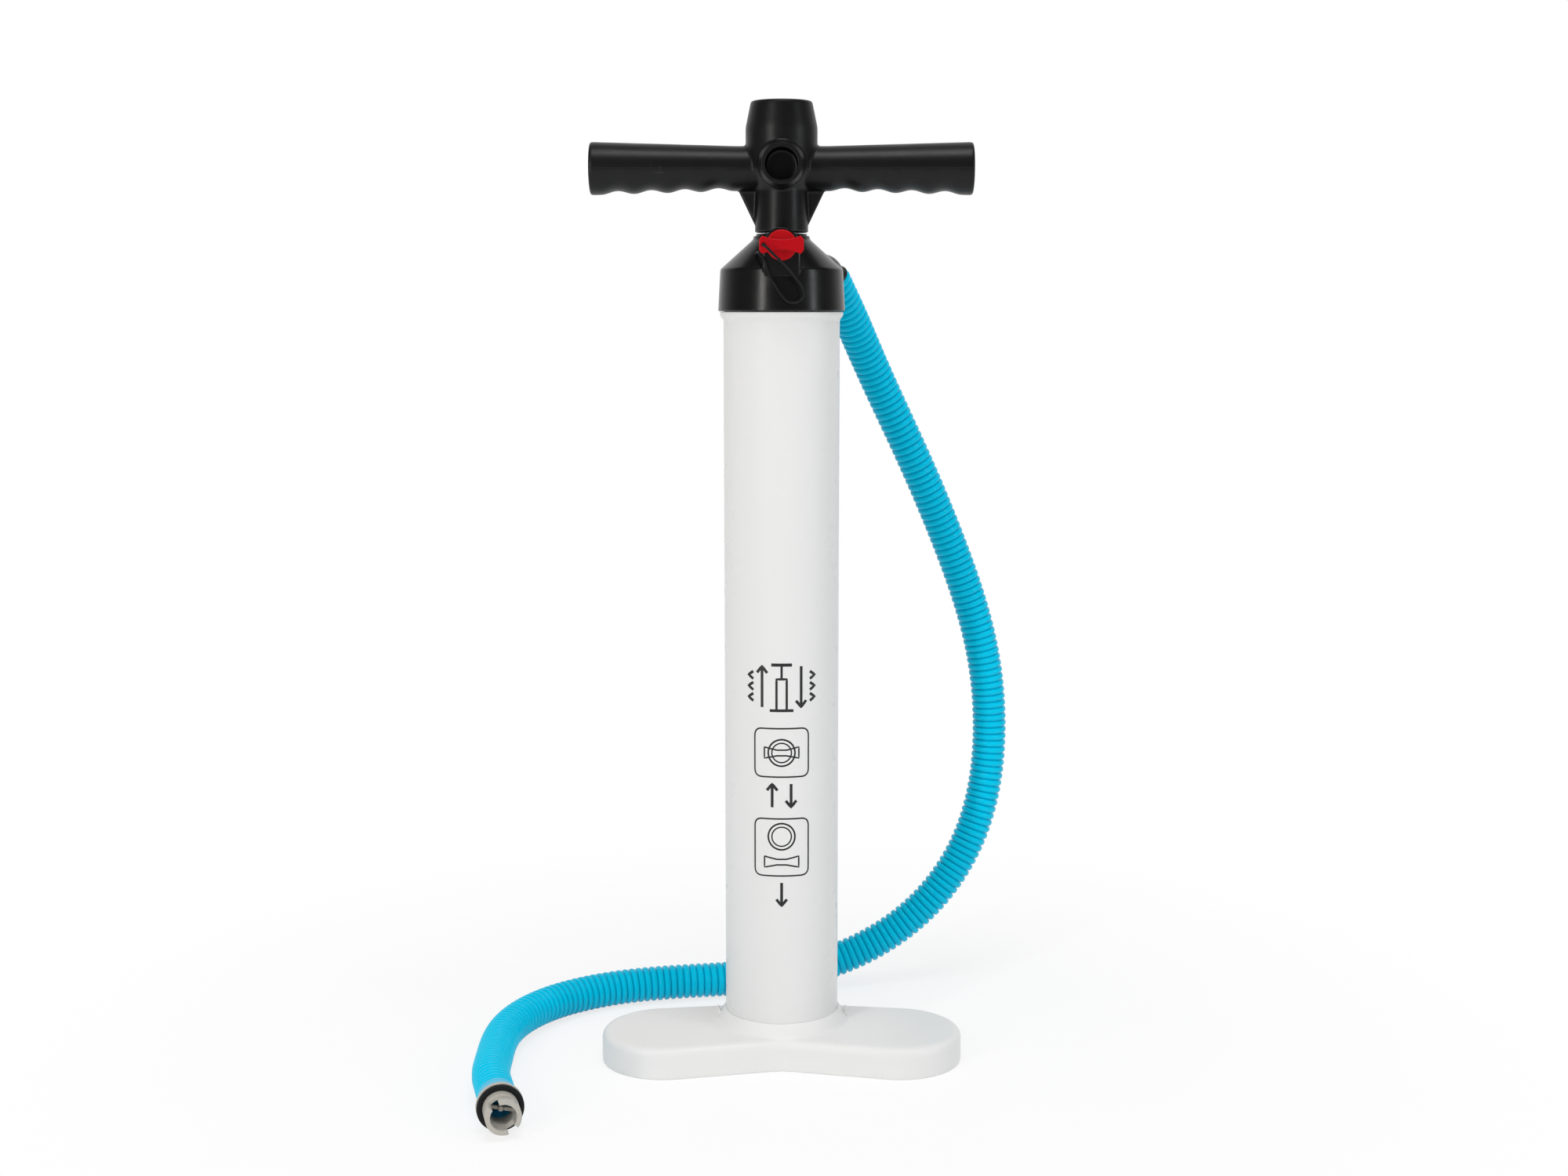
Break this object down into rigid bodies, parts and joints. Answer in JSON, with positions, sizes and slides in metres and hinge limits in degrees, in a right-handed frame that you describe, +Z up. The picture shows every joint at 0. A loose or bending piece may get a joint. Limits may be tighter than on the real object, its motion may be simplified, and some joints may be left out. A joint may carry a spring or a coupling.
{
  "type": "double action hand pump",
  "caption": "Upright double action hand pump: T handle on a hollow rod, white barrel on a lobed foot, black cap with a tethered plug, and a ribbed hose with a bayonet end.",
  "frame": {"origin": "on the floor, on the barrel's axis", "axes": "+Z up along the barrel, -Y towards the plug on the cap's front, +X to the right of the front"},
  "size_m": [0.3541, 0.3114, 0.6086],
  "materials": {
    "white_foot": "moulded white plastic, satin gloss",
    "white_barrel": "white extruded plastic, glossy, line pictograms on the front",
    "white_inner": "moulded white plastic, hidden",
    "aluminium": "drawn tube, bright",
    "piston_grey": "moulded grey plastic",
    "valve_red": "moulded rubber disc",
    "plug_red": "moulded red plastic, satin gloss",
    "black_plastic": "moulded black plastic, satin",
    "hose_blue": "soft ribbed plastic, glossy",
    "cuff_blue": "soft plastic sleeve, paler blue",
    "nozzle_grey": "moulded grey plastic, slightly milky",
    "tether_black": "thin black elastic cord",
    "steel": "plated screw",
    "rubber": "black moulded rubber"
  },
  "bodies": {
    "pump_body": {"foot_base": "white_foot", "barrel": "white_barrel", "inner_cylinder": "aluminium", "cylinder_seat": "white_inner", "seat_seal": "rubber", "valve_plate": "white_inner", "inlet_flap": "rubber", "outlet_flap": "rubber", "top_cap": "black_plastic", "cap_gasket": "rubber", "rod_guide_bush": "white_inner", "rod_seal": "rubber", "seal_keeper": "black_plastic", "hose_elbow": "black_plastic", "hose": "hose_blue", "hose_cuff": "cuff_blue", "hose_connector": "nozzle_grey", "connector_gasket": "rubber", "tether": "tether_black"},
    "piston_set": {"piston": "piston_grey", "piston_ring": "rubber", "piston_wear_band": "white_inner", "piston_nut": "piston_grey"},
    "intake_valve": {"intake_disc": "valve_red"},
    "handle_set": {"handle": "black_plastic", "piston_rod": "aluminium", "handle_screw": "steel", "stroke_bumper": "rubber"},
    "plug_seal": {"plug_gasket": "rubber"},
    "plug": {"mode_plug": "plug_red"}
  },
  "joints": [
    {"name": "handle_slide", "type": "slide", "parent": "pump_body", "child": "piston_set", "axis": [0, 0, 1], "range_m": [0, 0.43]},
    {"name": "handle_turn", "type": "hinge", "parent": "piston_set", "child": "handle_set", "pos_m": [0, 0, 0.5283], "axis": [0, 0, 1], "continuous": true},
    {"name": "intake_lift", "type": "slide", "parent": "piston_set", "child": "intake_valve", "axis": [0, 0, 1], "range_m": [0, 0.002]},
    {"name": "plug_turn", "type": "hinge", "parent": "pump_body", "child": "plug_seal", "pos_m": [0, -0.041, 0.5196], "axis": [0, -1, 0], "range_deg": [0, 90], "deforming": ["tether"]},
    {"name": "plug_draw", "type": "slide", "parent": "plug_seal", "child": "plug", "axis": [0, -1, 0], "range_m": [0, 0.003], "deforming": ["tether"]}
  ],
  "couplings": [
    {"joint": "plug_draw", "follows": "plug_turn", "m_per_rad": 0.0019}
  ]
}
